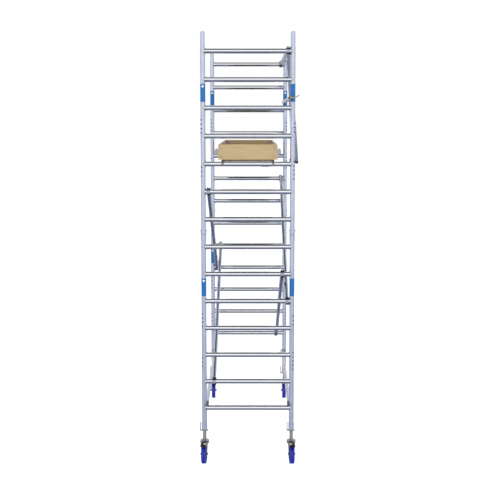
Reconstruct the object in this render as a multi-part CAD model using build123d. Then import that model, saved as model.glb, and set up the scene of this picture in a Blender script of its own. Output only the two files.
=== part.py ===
"""Narrow mobile scaffold tower in aluminium: stacked end frames, braces, deck, guard rails, casters.

Frame: X across the tower, Y along it (front end at -Y), Z up. The origin is on the ground,
in the middle of the four posts. Units are millimetres.
"""
import os
from math import atan2, degrees, sqrt

from build123d import *

os.makedirs("parts", exist_ok=True)

# ---------------------------------------------------------------- driving dimensions
POST_X = 450.0            # post centres stand at +-POST_X
END_Y = 1225.0            # end frames stand at +-END_Y
POST_R = 25.4
POST_WALL = 2.0
RUNG_R = 25.0
RUNG_WALL = 1.8
RUNG_PITCH = 280.0
RUNGS_PER_FRAME = 7
FIRST_RUNG_Z = 580.0
FOOT_DROP = 240.0         # tube end below a frame's first rung
SHOULDER_RISE = 40.0      # tube end above a frame's last rung
SPIGOT_R = 23.0
SPIGOT_RISE = 150.0
SPIGOT_DEPTH = 120.0
SPIGOT_WALL = 3.0
LOCK_HEIGHT = 129.0       # lock pin above the joint between two frames
LOCK_HOLE_R = 4.5
BRACE_R = 20.0
BRACE_WALL = 2.0
DECK_RUNG = 10            # the platform hooks on this rung
DECK_HALF_WIDTH = 267.0
TOE_HALF_WIDTH = 300.0
TOE_HEIGHT = 153.0
WHEEL_R = 100.0
WHEEL_WIDTH = 46.0
CASTER_TRAIL = 50.0
FRONT_SWIVEL = 4.0        # degrees that the front casters point outwards
REAR_SWIVEL = 2.0
RUN_GAP = 0.05            # radial clearance of shafts that turn

FRAME_RISE = RUNGS_PER_FRAME * RUNG_PITCH
FOOT_Z = FIRST_RUNG_Z - FOOT_DROP
JOINT_Z = FOOT_Z + FRAME_RISE
TOP_Z = JOINT_Z + FRAME_RISE
LAST_RUNG = 2 * RUNGS_PER_FRAME
ENDS = {"front": -1, "rear": 1}
SIDES = {"left": -1, "right": 1}


def rung_z(number):
    """Height of a rung's centre, counted from 1 at the bottom."""
    return FIRST_RUNG_Z + (number - 1) * RUNG_PITCH


def rod(start, end, radius):
    """Solid round bar from start to end."""
    run = Vector(*end) - Vector(*start)
    base = Cylinder(radius, run.length, align=(Align.CENTER, Align.CENTER, Align.MIN))
    return Plane(origin=start, z_dir=run) * base


def tube(start, end, radius, wall):
    """Round tube from start to end."""
    return rod(start, end, radius) - rod(start, end, radius - wall)


def block(x_span, y_span, z_span):
    """Box between three pairs of limits."""
    size = [span[1] - span[0] for span in (x_span, y_span, z_span)]
    middle = [(span[1] + span[0]) / 2 for span in (x_span, y_span, z_span)]
    return Pos(*middle) * Box(*size)


def profile_yz(points, x_span):
    """Closed outline in Y and Z, carried along X."""
    face = Plane.YZ * make_face(Polyline(*points, close=True).edges())
    length = x_span[1] - x_span[0]
    return Pos(x_span[0], 0, 0) * extrude(face, amount=length, dir=(1, 0, 0))


def save(name, solids):
    """Write one node; several separate solids become one compound."""
    solids = list(solids) if isinstance(solids, (list, tuple)) else [solids]
    shape = solids[0] if len(solids) == 1 else Compound(children=solids)
    shape.label = name
    export_step(shape, f"parts/{name}.step")


# ---------------------------------------------------------------- end frames
def post(x, y, foot_z):
    """One upright tube with the cross hole that a lock pin goes through near its foot."""
    upright = tube((x, y, foot_z), (x, y, foot_z + FRAME_RISE), POST_R, POST_WALL)
    hole_z = foot_z + LOCK_HEIGHT
    return upright - rod((x - POST_R - 5, y, hole_z), (x + POST_R + 5, y, hole_z), LOCK_HOLE_R)


def rung(y, z):
    """Rung tube, its ends coped to sit on the round posts."""
    bar = tube((-POST_X, y, z), (POST_X, y, z), RUNG_R, RUNG_WALL)
    for side in SIDES.values():
        reach = RUNG_R + 5
        bar -= rod((side * POST_X, y, z - reach), (side * POST_X, y, z + reach), POST_R)
    return bar


def spigot(x, y, shoulder_z):
    """Joint tube: a tight lower half inside one post, a slip-fit upper half for the next."""
    bore_r = POST_R - POST_WALL
    shape = rod((x, y, shoulder_z - SPIGOT_DEPTH), (x, y, shoulder_z), bore_r)
    shape += rod((x, y, shoulder_z), (x, y, shoulder_z + SPIGOT_RISE), SPIGOT_R)
    shape = chamfer(shape.edges().group_by(Axis.Z)[-1], 3)
    inner_r = SPIGOT_R - SPIGOT_WALL
    shape -= rod((x, y, shoulder_z - SPIGOT_DEPTH), (x, y, shoulder_z + SPIGOT_RISE), inner_r)
    hole_z = shoulder_z + LOCK_HEIGHT
    return shape - rod((x - POST_R, y, hole_z), (x + POST_R, y, hole_z), LOCK_HOLE_R)


COLLAR_R = 28.5
COLLAR_BASE = 26.0        # collar's lower edge above the post's foot
COLLAR_HEIGHT = 54.0


def collar(x, y, foot_z):
    """Ring that stiffens the foot of a post."""
    low = foot_z + COLLAR_BASE
    ring = rod((x, y, low), (x, y, low + COLLAR_HEIGHT), COLLAR_R)
    ring = chamfer(ring.edges().filter_by(GeomType.CIRCLE), 1.5)
    return ring - rod((x, y, low), (x, y, low + COLLAR_HEIGHT), POST_R)


CLIP_PIN_R = 4.0
CLIP_WIRE_R = 1.6
CLIP_CORNER_R = 2.0
CLIP_LOOP_R = 31.0        # the wire loop's radius about the post
CLIP_DROP = 38.0          # loop below the pin


def lock_clip(x, y, end):
    """Pin through the joint, with a wire loop that snaps round the outer half of the post."""
    z = JOINT_Z + LOCK_HEIGHT
    shape = rod((x - CLIP_LOOP_R - 3, y, z), (x + CLIP_LOOP_R + 3, y, z), CLIP_PIN_R)
    for side in (-1, 1):
        leg_x = x + side * CLIP_LOOP_R
        shape += rod((leg_x, y, z), (leg_x, y, z - CLIP_DROP), CLIP_WIRE_R)
        shape += Pos(leg_x, y, z - CLIP_DROP) * Sphere(CLIP_CORNER_R)
    loop = Torus(CLIP_LOOP_R, CLIP_WIRE_R, major_angle=180, align=None)
    turn = 0 if end > 0 else 180
    return shape + Pos(x, y, z - CLIP_DROP) * Rot(0, 0, turn) * loop


def build_frames():
    """Four welded end frames with their spigots, collars and lock clips."""
    for end_name, end in ENDS.items():
        y = end * END_Y
        for level, foot_z in (("lower", FOOT_Z), ("upper", JOINT_Z)):
            posts = [post(side * POST_X, y, foot_z) for side in SIDES.values()]
            save(f"{end_name}_{level}_posts", posts)
            first_z = foot_z + FOOT_DROP
            rungs = [rung(y, first_z + number * RUNG_PITCH) for number in range(RUNGS_PER_FRAME)]
            save(f"{end_name}_{level}_rungs", rungs)
        for side_name, side in SIDES.items():
            save(f"lock_clip_{end_name}_{side_name}", lock_clip(side * POST_X, y, end))
    corners = [(side * POST_X, end * END_Y) for end in ENDS.values() for side in SIDES.values()]
    save("joint_spigots", [spigot(x, y, JOINT_Z) for x, y in corners])
    save("top_spigots", [spigot(x, y, TOP_Z) for x, y in corners])
    save("post_collars", [collar(x, y, foot_z) for x, y in corners for foot_z in (FOOT_Z, JOINT_Z)])


# ---------------------------------------------------------------- adjustable casters
PLATE_Z = 228.0           # underside of the leg's round plate
PLATE_R = 47.5
PLATE_THICK = 8.0
LEG_R = 18.0
LEG_WALL = 4.0
LEG_TOP_Z = 736.0
THREAD_PITCH = 8.0
THREAD_DEPTH = 1.4
THREAD_START_Z = 262.0
KING_PIN_R = 10.0
CROWN_Z = 208.0           # underside of the fork's crown
CROWN_THICK = 6.0
FORK_INSIDE = 26.5
CROWN_R = 44.0
FORK_PLATE = 4.0
AXLE_R = 7.5
PEDAL_PIVOT = (-66.0, 222.0)   # pedal pin, along the trail and in height


def caster_leg():
    """Threaded leg with its round plate and the king pin that the fork turns on."""
    points = [(LEG_R - LEG_WALL, PLATE_Z + PLATE_THICK), (LEG_R, PLATE_Z + PLATE_THICK)]
    turns = int((LEG_TOP_Z - THREAD_START_Z) // THREAD_PITCH)
    for turn in range(turns):
        low = THREAD_START_Z + turn * THREAD_PITCH
        root = LEG_R - THREAD_DEPTH
        points += [(LEG_R, low), (root, low + 1.5), (root, low + 3), (LEG_R, low + 4.5)]
    points += [(LEG_R, LEG_TOP_Z), (LEG_R - LEG_WALL, LEG_TOP_Z)]
    stem = revolve(Plane.XZ * make_face(Polyline(*points, close=True).edges()), Axis.Z)
    plate = rod((0, 0, PLATE_Z), (0, 0, PLATE_Z + PLATE_THICK), PLATE_R)
    plate = chamfer(plate.edges().filter_by(GeomType.CIRCLE), 1.5)
    king_pin = rod((0, 0, CROWN_Z), (0, 0, PLATE_Z), KING_PIN_R)
    return stem + plate + king_pin


NUT_R = 29.0
NUT_LOW_Z = FOOT_Z - 6.0
NUT_TOP_Z = FOOT_Z + 7.0
NUT_LIP_Z = FOOT_Z - 0.5
HANDLE_X = 43.0           # upright handle's distance from the leg


def adjusting_nut():
    """Nut that the post stands on: flange, lip round the tube, a wing and an upright handle."""
    body = rod((0, 0, NUT_LOW_Z), (0, 0, NUT_TOP_Z), NUT_R)
    body = chamfer(body.edges().filter_by(GeomType.CIRCLE), 1)
    body -= rod((0, 0, NUT_LIP_Z), (0, 0, NUT_TOP_Z), POST_R + 0.3)
    body -= rod((0, 0, NUT_LOW_Z), (0, 0, NUT_LIP_Z), LEG_R + RUN_GAP)
    wing = block((NUT_R - 2.5, 37), (-6, 6), (NUT_LOW_Z, NUT_TOP_Z))
    arm = block((-HANDLE_X, 2.5 - NUT_R), (-7, 7), (NUT_LOW_Z, NUT_TOP_Z))
    handle = rod((-HANDLE_X, 0, NUT_LOW_Z), (-HANDLE_X, 0, FOOT_Z + 82), 4.5)
    return body + wing + arm + handle + Pos(-HANDLE_X, 0, FOOT_Z + 82) * Sphere(4.5)


def fork():
    """Fork bracket with its swivel head, and the axle bolt as a second solid."""
    outer = FORK_INSIDE + FORK_PLATE
    crown = block((-outer, outer), (-60, 40), (CROWN_Z, CROWN_Z + CROWN_THICK))
    crown += rod((0, 0, CROWN_Z - 4), (0, 0, CROWN_Z + CROWN_THICK), CROWN_R)
    head = rod((0, 0, CROWN_Z), (0, 0, PLATE_Z - 0.4), 39)
    shape = crown + head
    outline = [(40, CROWN_Z + CROWN_THICK), (-78, CROWN_Z + CROWN_THICK)]
    outline += [(-CASTER_TRAIL - 19, WHEEL_R), (-CASTER_TRAIL + 19, WHEEL_R), (36, CROWN_Z - 14)]
    for side in (-1, 1):
        span = (FORK_INSIDE, outer) if side > 0 else (-outer, -FORK_INSIDE)
        shape += profile_yz(outline, span)
        shape += rod((span[0], -CASTER_TRAIL, WHEEL_R), (span[1], -CASTER_TRAIL, WHEEL_R), 19)
        ear = (22.0, outer) if side > 0 else (-outer, -22.0)
        shape += profile_yz([(-78, CROWN_Z), (-54, CROWN_Z), (-56, 232), (-76, 232)], ear)
    pin_y, pin_z = PEDAL_PIVOT
    shape -= rod((0, 0, CROWN_Z - 4), (0, 0, PLATE_Z), KING_PIN_R + RUN_GAP)
    shape -= rod((-outer, -CASTER_TRAIL, WHEEL_R), (outer, -CASTER_TRAIL, WHEEL_R), AXLE_R)
    shape -= rod((-outer, pin_y, pin_z), (outer, pin_y, pin_z), 3 + RUN_GAP)
    axle = rod((-outer, -CASTER_TRAIL, WHEEL_R), (outer, -CASTER_TRAIL, WHEEL_R), AXLE_R)
    for side in (-1, 1):
        tip = side * (outer + 9)
        axle += rod((side * outer, -CASTER_TRAIL, WHEEL_R), (tip, -CASTER_TRAIL, WHEEL_R), 12)
    return [shape, axle]


def wheel():
    """Solid wheel: round-shouldered tread, dished web and a hub."""
    half = WHEEL_WIDTH / 2
    hub_half = half + 2
    bore = AXLE_R + RUN_GAP
    points = [(bore, -hub_half), (24, -hub_half), (26, -half + 9), (76, -half + 9), (80, -half), (91, -half)]
    points += [(98, -half + 6), (WHEEL_R, -half + 14)]
    outline = points + [(radius, -offset) for radius, offset in reversed(points)]
    face = Plane.XY * make_face(Polyline(*[(offset, radius) for radius, offset in outline], close=True).edges())
    disc = revolve(face, Axis.X)
    return Pos(0, -CASTER_TRAIL, WHEEL_R) * disc


def brake_pedal():
    """Foot pedal over the wheel, with the pad that presses on the tread and its hinge pin."""
    outline = [(-57, 217), (-57, 228), (-74, 232), (-138, 216), (-148, 202), (-138, 199)]
    outline += [(-102, 207), (-95, 199), (-82, 200.5), (-74, 215.5)]
    pin_y, pin_z = PEDAL_PIVOT
    pad = [(-90, 228), (-138, 216), (-148, 202), (-138, 199), (-104, 207)]
    body = profile_yz(outline, (-20, 20)) + profile_yz(pad, (-29, 29))
    return body + rod((-FORK_INSIDE, pin_y, pin_z), (FORK_INSIDE, pin_y, pin_z), 3)


def build_casters():
    """Leg, nut, fork, wheel and pedal at each corner."""
    for end_name, end in ENDS.items():
        for side_name, side in SIDES.items():
            corner = f"{end_name}_{side_name}"
            at_post = Pos(side * POST_X, end * END_Y, 0)
            swivel = FRONT_SWIVEL if end < 0 else REAR_SWIVEL
            turn = side * swivel if end < 0 else 180 - side * swivel
            turned = at_post * Rot(0, 0, turn)
            save(f"caster_leg_{corner}", at_post * caster_leg())
            save(f"adjusting_nut_{corner}", at_post * adjusting_nut())
            save(f"caster_fork_{corner}", [turned * solid for solid in fork()])
            save(f"wheel_{corner}", turned * wheel())
            save(f"brake_pedal_{corner}", turned * brake_pedal())


# ---------------------------------------------------------------- braces and their claws
CLAW_HALF = 19.0          # half the claw's width along the tube that it grips
JAW_DEPTH = 16.0          # outer jaw below the gripped tube's centre
POST_CLAW_HALF = 14.0
SIDE_ARM = (20.5, 23.5)   # the trigger's arm, beside the brace
POST_JAW_DEPTH = 2.0
CLAW_WALL = 8.0
CLAW_GAP = 0.3
TANG_START = 24.0
TANG_END = 80.0
TUBE_START = 46.0         # brace tube begins this far from the gripped tube's centre
TANG_R = BRACE_R - BRACE_WALL
AXIS_LIFT = 10.0          # brace axis above the gripped centre, at a rung claw
POST_BRACE_LIFT = 23.0    # the same at a post claw
AXIS_AT = 40.0            # where AXIS_LIFT is measured


def claw_axis(lift, slope, along):
    """Point on the brace's axis, in the claw's own Y and Z."""
    return (0, along, lift + (along - AXIS_AT) * slope)


def claw(grip_r, lift, slope, half, jaw_depth):
    """Hook over a tube that runs along X, with a tang towards +Y that fits inside the brace."""
    outer_r = grip_r + CLAW_WALL
    ring = rod((-half, 0, 0), (half, 0, 0), outer_r)
    ring -= block((-50, 50), (-50, 50), (-50, 0))
    ring += block((-half, half), (-outer_r, 0), (-jaw_depth, 0))
    ring += block((-half, half), (0, outer_r), (-16, 0))
    tang = rod(claw_axis(lift, slope, TANG_START), claw_axis(lift, slope, TANG_END), TANG_R)
    shape = ring + tang
    hollow = grip_r + CLAW_GAP
    shape -= rod((-half, 0, 0), (half, 0, 0), hollow)
    return shape - block((-50, 50), (-hollow, hollow), (-50, 0))


def claw_trigger(grip_r, arm_side):
    """Sprung slider with two ears over the claw and a side arm.

    On a rung it has a bar that closes the mouth below; on a post the arm's end is the catch.
    """
    low = -grip_r - 8.5
    top = grip_r + CLAW_WALL + CLAW_GAP
    back = grip_r + CLAW_GAP
    arm_x = sorted((arm_side * SIDE_ARM[0], arm_side * SIDE_ARM[1]))
    reach_x = sorted((-arm_side * 12, arm_side * SIDE_ARM[1]))
    if grip_r == POST_R:
        slider = block(arm_x, (back, back + 7), (-14, top + 5))
    else:
        slider = block(reach_x, (-grip_r - 4, back + 7), (low, low + 7))
        slider += block(arm_x, (back, back + 7), (low, top + 5))
    slider += block(arm_x, (-22, back + 7), (top, top + 5))
    slider += block(reach_x, (-22, -8), (top, top + 5))
    for x in (-9, 9):
        slider += block((x - 3.5, x + 3.5), (-22, -8), (top, top + 14))
    return slider


def at_rung(x, end, number):
    """Claw frame on a rung; +Y of the claw points to the middle of the tower."""
    turn = 0 if end < 0 else 180
    return Pos(x, end * END_Y, rung_z(number)) * Rot(0, 0, turn)


def at_post(side, end, z):
    """Claw frame on a post: its mouth faces outwards, away from the tower."""
    turn = Rot(0, 0, 0) if end < 0 else Rot(0, 0, 180)
    tip = Rot(0, 90, 0) if side * end > 0 else Rot(0, -90, 0)
    return Pos(side * POST_X, end * END_Y, z) * turn * tip


def brace_tube(place_a, place_b, lift, slope):
    """Tube between two claw frames, from TUBE_START at one to TUBE_START at the other."""
    start = (place_a * Pos(*claw_axis(lift, slope, TUBE_START))).position
    end = (place_b * Pos(*claw_axis(lift, -slope, TUBE_START))).position
    return tube(tuple(start), tuple(end), BRACE_R, BRACE_WALL)


HIGH_X = 400.0            # the steeper-seen outer diagonals
LOW_X = 350.0
RAIL_X = 400.0
POST_BRACE_Z = rung_z(1) + 42.0
KNEE_RAIL_Z = rung_z(12) + 100.0
DIAGONALS = {
    "left_high": (-HIGH_X, 9, 5),
    "left_low": (-LOW_X, 2, 6),
    "right_high": (HIGH_X, 5, 9),
    "right_low": (LOW_X, 6, 2),
}


def build_braces():
    """Horizontal braces on the posts, diagonals on the rungs, and the top guard rail."""
    claws = {-1: [], 1: []}
    triggers = {-1: [], 1: []}
    for name, (x, front_rung, rear_rung) in DIAGONALS.items():
        front, rear = at_rung(x, -1, front_rung), at_rung(x, 1, rear_rung)
        slope = (rear_rung - front_rung) * RUNG_PITCH / (2 * END_Y - 2 * AXIS_AT)
        save(f"diagonal_brace_{name}", brace_tube(front, rear, AXIS_LIFT, slope))
        for end, place, tilt in ((-1, front, slope), (1, rear, -slope)):
            claws[end].append(place * claw(RUNG_R, AXIS_LIFT, tilt, CLAW_HALF, JAW_DEPTH))
            triggers[end].append(place * claw_trigger(RUNG_R, 1))
    for name, side in SIDES.items():
        front, rear = at_post(side, -1, POST_BRACE_Z), at_post(side, 1, POST_BRACE_Z)
        save(f"horizontal_brace_{name}", brace_tube(front, rear, POST_BRACE_LIFT, 0))
        for end, place in ((-1, front), (1, rear)):
            claws[end].append(place * claw(POST_R, POST_BRACE_LIFT, 0, POST_CLAW_HALF, POST_JAW_DEPTH))
            triggers[end].append(place * claw_trigger(POST_R, -side * end))
    front, rear = at_rung(RAIL_X, -1, LAST_RUNG), at_rung(RAIL_X, 1, LAST_RUNG)
    save("guard_top_rail", brace_tube(front, rear, AXIS_LIFT, 0))
    for end, place in ((-1, front), (1, rear)):
        claws[end].append(place * claw(RUNG_R, AXIS_LIFT, 0, CLAW_HALF, JAW_DEPTH))
        triggers[end].append(place * claw_trigger(RUNG_R, 1))
    save("brace_claws", claws[-1] + claws[1])
    save("claw_triggers_front", triggers[-1])
    save("claw_triggers_rear", triggers[1])


# ---------------------------------------------------------------- side guard frame
KNEE_X = POST_X - POST_BRACE_LIFT
STRUT_X = (448.0, 512.0)
STRUT_THICK = 34.0
STRUT_WALL = 2.5
STRUT_FOOT = (-END_Y + 52, 3112.0)   # along Y and in height
STRUT_HEAD = (790.0, 4296.0)
LEVER_PIN_R = 4.0
LEVER_PIN_OUT = 38.5      # lever pin beyond the post's centre, along Y


def clamp_jaw(end):
    """Half clamp round the inner side of a right-hand post, with a tang for the knee rail."""
    y = end * END_Y
    z = KNEE_RAIL_Z
    half = 21.0
    reach = POST_R + 8
    jaw = rod((POST_X, y, z - half), (POST_X, y, z + half), reach)
    jaw -= block((POST_X, POST_X + 60), (y - 60, y + 60), (z - half, z + half))
    tang_end = y - end * TANG_END
    jaw += rod((KNEE_X, y - end * TANG_START, z), (KNEE_X, tang_end, z), TANG_R)
    knuckle_y = y + end * LEVER_PIN_OUT
    jaw += block((POST_X - 30, POST_X - 14), sorted((y + end * 18, knuckle_y + end * 6)), (z - half, z - 8))
    jaw += block((POST_X - 30, POST_X - 14), sorted((y + end * 18, knuckle_y + end * 6)), (z + 8, z + half))
    jaw -= rod((POST_X, y, z - half), (POST_X, y, z + half), POST_R + CLAW_GAP)
    pin = (POST_X - 22, knuckle_y)
    return jaw - rod((*pin, z - half), (*pin, z + half), LEVER_PIN_R + RUN_GAP)


def clamp_lever(end):
    """Over-centre lever: pin, strap across the post and a round handle beyond it."""
    y = end * END_Y
    z = KNEE_RAIL_Z
    pin_x = POST_X - 22
    pin_y = y + end * LEVER_PIN_OUT
    shape = rod((pin_x, pin_y, z - 21), (pin_x, pin_y, z + 21), LEVER_PIN_R)
    shape += rod((pin_x, pin_y, z - 7.5), (pin_x, pin_y, z + 7.5), 7)
    shape += block((pin_x, POST_X + 26), sorted((pin_y - end * 4, pin_y + end * 4)), (z - 7, z + 7))
    grip_end = (POST_X + 57.5, pin_y, z + 22)
    shape += rod((POST_X + 22, pin_y, z), grip_end, 4)
    return shape + Pos(*grip_end) * Sphere(5.5)


def guard_strut():
    """Broad diagonal box strut outside the posts, from the deck level up to the top rail."""
    run_y = STRUT_HEAD[0] - STRUT_FOOT[0]
    run_z = STRUT_HEAD[1] - STRUT_FOOT[1]
    length = sqrt(run_y**2 + run_z**2)
    angle = atan2(run_z, run_y)
    width = STRUT_X[1] - STRUT_X[0]
    outer = Box(width, length, STRUT_THICK, align=(Align.CENTER, Align.MIN, Align.CENTER))
    outer = fillet(outer.edges().filter_by(Axis.Y), 9)
    thin = (width - 2 * STRUT_WALL, length, STRUT_THICK - 2 * STRUT_WALL)
    inner = Box(*thin, align=(Align.CENTER, Align.MIN, Align.CENTER))
    inner = fillet(inner.edges().filter_by(Axis.Y), 9 - STRUT_WALL)
    middle_x = sum(STRUT_X) / 2
    place = Pos(middle_x, *STRUT_FOOT) * Rot(degrees(angle), 0, 0)
    return place * (outer - inner)


def strut_at(z):
    """Y of the strut's axis at a height."""
    share = (z - STRUT_FOOT[1]) / (STRUT_HEAD[1] - STRUT_FOOT[1])
    return STRUT_FOOT[0] + share * (STRUT_HEAD[0] - STRUT_FOOT[0])


def strut_fixings():
    """Foot clamp on the front post and the two bolts that tie the strut to the rails."""
    z = STRUT_FOOT[1] + 30
    y = -END_Y
    foot = rod((POST_X, y, z - 14), (POST_X, y, z + 14), POST_R + 6)
    foot -= block((POST_X - 50, POST_X + 50), (y - 50, y), (z - 14, z + 14))
    foot += block((POST_X + 4, POST_X + 30), (y + 18, y + 38), (z - 14, z + 14))
    foot -= rod((POST_X, y, z - 14), (POST_X, y, z + 14), POST_R)
    rail_z = rung_z(LAST_RUNG) + AXIS_LIFT
    top = rod((RAIL_X + BRACE_R, strut_at(rail_z), rail_z), (STRUT_X[0], strut_at(rail_z), rail_z), 7)
    knee_y = strut_at(KNEE_RAIL_Z)
    knee = rod((STRUT_X[1], knee_y, KNEE_RAIL_Z), (STRUT_X[1] + 5, knee_y, KNEE_RAIL_Z), 9)
    return [foot, top, knee]


def build_side_guard():
    """Knee rail with two lever clamps, and the strut."""
    y = END_Y - TUBE_START
    save("guard_knee_rail", tube((KNEE_X, -y, KNEE_RAIL_Z), (KNEE_X, y, KNEE_RAIL_Z), BRACE_R, BRACE_WALL))
    save("guard_clamps", [clamp_jaw(-1), clamp_jaw(1)] + strut_fixings())
    save("guard_strut", guard_strut())
    for name, end in ENDS.items():
        save(f"clamp_lever_{name}", clamp_lever(end))


# ---------------------------------------------------------------- work platform
DECK_Z = rung_z(DECK_RUNG) + 43.0   # walking surface
DECK_THICK = 12.0
FRAME_DEPTH = 48.0
FRAME_END = END_Y - RUNG_R - 7.0    # platform frame's end face
BEAM = 34.0
HOOK_X = 254.0
HOOK_HALF = 11.0
HATCH_X = (-200.0, 200.0)
HATCH_Y = (380.0, 980.0)
HATCH_GAP = 4.0
HINGE_R = 5.0
WIND_LOCK_X = 150.0
LATCH_TRAVEL = 22.0


def platform_frame():
    """Two side rails, end beams and cross beams, as separate extrusions."""
    top = DECK_Z - DECK_THICK
    low = top - FRAME_DEPTH
    inner = DECK_HALF_WIDTH - BEAM
    rails = [
        block(sorted((side * inner, side * DECK_HALF_WIDTH)), (-FRAME_END, FRAME_END), (low, top))
        - block(sorted((side * (inner + 3), side * (DECK_HALF_WIDTH - 3))), (-FRAME_END, FRAME_END), (low + 3, top - 3))
        for side in SIDES.values()
    ]
    spots = [-FRAME_END + BEAM / 2, -700, -200, HATCH_Y[0] - 30, HATCH_Y[1] + 30, FRAME_END - BEAM / 2]
    beams = [block((-inner, inner), (y - BEAM / 2, y + BEAM / 2), (low + 6, top)) for y in spots]
    return rails + beams


def platform_hook(side, end):
    """Strap that leaves the end beam, passes over the rung and turns down in front of it."""
    y = end * END_Y
    z = rung_z(DECK_RUNG)
    inner = RUNG_R + CLAW_GAP
    outer = inner + 5
    back = end * FRAME_END
    x_span = (side * HOOK_X - HOOK_HALF, side * HOOK_X + HOOK_HALF)
    strap = rod((x_span[0], y, z), (x_span[1], y, z), outer)
    strap -= block((-600, 600), (y - 60, y + 60), (z - 60, z))
    strap += block(x_span, sorted((y + end * inner, y + end * outer)), (z - 20, z))
    root_top = z + outer
    strap += block(x_span, sorted((back, y)), (root_top - 14, root_top))
    return strap - rod((x_span[0] - 1, y, z), (x_span[1] + 1, y, z), inner)


def deck_panel():
    """Plywood deck with the hatch opening cut out."""
    end = FRAME_END
    panel = block((-DECK_HALF_WIDTH, DECK_HALF_WIDTH), (-end, end), (DECK_Z - DECK_THICK, DECK_Z))
    return panel - block(HATCH_X, HATCH_Y, (DECK_Z - DECK_THICK, DECK_Z))


def hatch_panel():
    """Trapdoor: plywood leaf with a stiffening rib, hinged along its right-hand edge."""
    span_x = (HATCH_X[0] + HATCH_GAP, HATCH_X[1] - HATCH_GAP)
    span_y = (HATCH_Y[0] + HATCH_GAP, HATCH_Y[1] - HATCH_GAP)
    leaf = block(span_x, span_y, (DECK_Z - DECK_THICK, DECK_Z))
    grip = block((-178, -118), (HATCH_Y[0] + 270, HATCH_Y[1] - 270), (DECK_Z - DECK_THICK, DECK_Z))
    return leaf - fillet(grip.edges().filter_by(Axis.Z), 14)


def hatch_hinges():
    """Two hinge knuckles with their leaves, screwed to the deck beside the hatch."""
    solids = []
    for share in (0.22, 0.78):
        y = HATCH_Y[0] + share * (HATCH_Y[1] - HATCH_Y[0])
        x = HATCH_X[1] - HATCH_GAP / 2
        knuckle = rod((x, y - 35, DECK_Z + HINGE_R + 0.4), (x, y + 35, DECK_Z + HINGE_R + 0.4), HINGE_R)
        leaf = block((x, x + 34), (y - 35, y + 35), (DECK_Z, DECK_Z + 3))
        solids.append(knuckle + leaf)
    return solids


def hatch_latch():
    """Sliding bolt under the hatch's free edge, drawn back so that the hatch can open."""
    y = (HATCH_Y[0] + HATCH_Y[1]) / 2 + 90
    low = DECK_Z - DECK_THICK - 10
    tip = HATCH_X[0] + 6
    wide = (y - 11, y + 11)
    bolt = block((tip, tip + 84), wide, (low, low + 6))
    guide = block((tip + LATCH_TRAVEL + 6, tip + 84), wide, (low + 6, low + 10))
    knob = rod((tip + 70, y, low - 16), (tip + 70, y, low), 8)
    return bolt + guide + knob


def wind_lock(end):
    """Turning catch under the end beam, stowed along it; turned outwards it lies below the rung."""
    y = end * (FRAME_END - 16)
    low = DECK_Z - DECK_THICK - FRAME_DEPTH + 6
    arm_low = rung_z(DECK_RUNG) - RUNG_R - 7
    pivot = rod((WIND_LOCK_X, y, arm_low), (WIND_LOCK_X, y, low), 9)
    return pivot + block((WIND_LOCK_X, WIND_LOCK_X + 60), (y - 9, y + 9), (arm_low, arm_low + 4))


TOE_THICK = 18.0
TOE_END = END_Y - 8.0


def toe_boards():
    """Two long side boards and two end boards that lap over their ends."""
    low, high = DECK_Z, DECK_Z + TOE_HEIGHT
    boards = []
    for end in ENDS.values():
        span_y = sorted((end * TOE_END, end * (TOE_END - TOE_THICK)))
        board = block((-TOE_HALF_WIDTH, TOE_HALF_WIDTH), span_y, (low, high))
        corners = board.edges().filter_by(Axis.Y).group_by(Axis.Z)[-1]
        boards.append(fillet(corners, 9))
    reach = TOE_END - TOE_THICK - 0.3
    for side in SIDES.values():
        span_x = sorted((side * (TOE_HALF_WIDTH - 6), side * (TOE_HALF_WIDTH - 6 - TOE_THICK)))
        boards.append(block(span_x, (-reach, reach), (low, high)))
    return boards


def toe_corner(side, end):
    """Corner bracket: angle inside the corner, foot on the deck and a rounded lug outside."""
    low = DECK_Z + 0.2
    inner_x = TOE_HALF_WIDTH - 6 - TOE_THICK - 0.2
    inner_y = TOE_END - TOE_THICK - 0.2
    span_x = sorted((side * (inner_x - 3), side * inner_x))
    angle = block(span_x, sorted((end * inner_y, end * (inner_y - 60))), (low, low + 120))
    flange_x = sorted((side * inner_x, side * (inner_x - 45)))
    angle += block(flange_x, sorted((end * inner_y, end * (inner_y - 3))), (low, low + 120))
    return angle


def toe_lug(side, end):
    """Rounded carrying lug fixed outside a side board, near its end."""
    face = TOE_HALF_WIDTH - 6 + 0.2
    y = end * (TOE_END - 45)
    z = DECK_Z + 87
    ring = rod((0, 0, -3), (0, 0, 3), 21) + Pos(0, 24, 0) * rod((0, 0, -3), (0, 0, 3), 15)
    plate = extrude(Plane.XY * make_hull(ring.faces().sort_by(Axis.Z)[0].edges()), amount=6)
    lug = Pos(0, -12, 0) * plate
    upright = Pos(side * (face + 24), y, z) * Rot(90, 0, 0) * lug
    stem = block(sorted((side * face, side * (face + 16))), (y - 6, y), (z - 14, z + 14))
    return upright + stem


def toe_fittings():
    """Corner brackets, lugs and the bolt heads on the end boards."""
    solids = []
    for end in ENDS.values():
        for side in SIDES.values():
            solids.append(toe_corner(side, end))
            solids.append(toe_lug(side, end))
            for rise in (28, 124):
                z = DECK_Z + rise
                face_y = end * (TOE_END + 0.1)
                solids.append(rod((side * 273, face_y, z), (side * 273, face_y + end * 4, z), 7))
    return solids


def build_platform():
    """Deck unit with hatch, catches and toe boards."""
    save("platform_frame", platform_frame())
    save("platform_hooks", [platform_hook(side, end) for end in ENDS.values() for side in SIDES.values()])
    save("deck", deck_panel())
    save("hatch", hatch_panel())
    save("hatch_hinges", hatch_hinges())
    save("hatch_latch", hatch_latch())
    save("toe_boards", toe_boards())
    save("toe_board_fittings", toe_fittings())
    for name, end in ENDS.items():
        save(f"wind_lock_{name}", wind_lock(end))


build_frames()
build_casters()
build_braces()
build_side_guard()
build_platform()
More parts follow.
